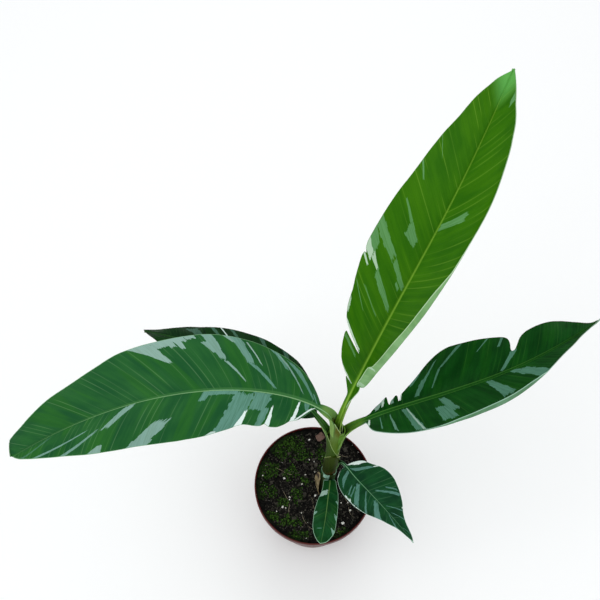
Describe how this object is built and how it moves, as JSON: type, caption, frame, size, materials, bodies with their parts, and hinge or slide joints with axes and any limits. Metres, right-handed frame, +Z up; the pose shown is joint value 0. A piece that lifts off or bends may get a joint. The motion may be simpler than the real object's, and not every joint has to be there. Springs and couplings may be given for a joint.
{
  "type": "potted banana plant",
  "caption": "Young variegated banana plant with broad arching leaves on a short trunk, standing in a round nursery pot of potting mix.",
  "frame": {"origin": "middle of the underside of the pot's flat base", "axes": "+Z up, along the pot's axis and the trunk; +Y away from the picture's viewer; +X to the viewer's right"},
  "size_m": [0.457, 0.2003, 0.5255],
  "materials": {
    "pot_plastic": "satin",
    "potting_mix": "matte",
    "sheath": "satin",
    "leaf_young": "satin",
    "leaf_mid": "satin",
    "leaf_dark": "satin",
    "leaf_shaded": "satin",
    "leaf_small": "satin",
    "leaf_low": "satin",
    "dried_sheath": "matte"
  },
  "bodies": {
    "root": {"pot": "pot_plastic", "soil": "potting_mix", "pseudostem": "sheath", "leaf_up": "leaf_young", "leaf_left": "leaf_mid", "leaf_right": "leaf_dark", "leaf_back": "leaf_shaded", "leaf_small": "leaf_small", "leaf_low": "leaf_low", "dry_sheath": "dried_sheath"}
  },
  "joints": []
}
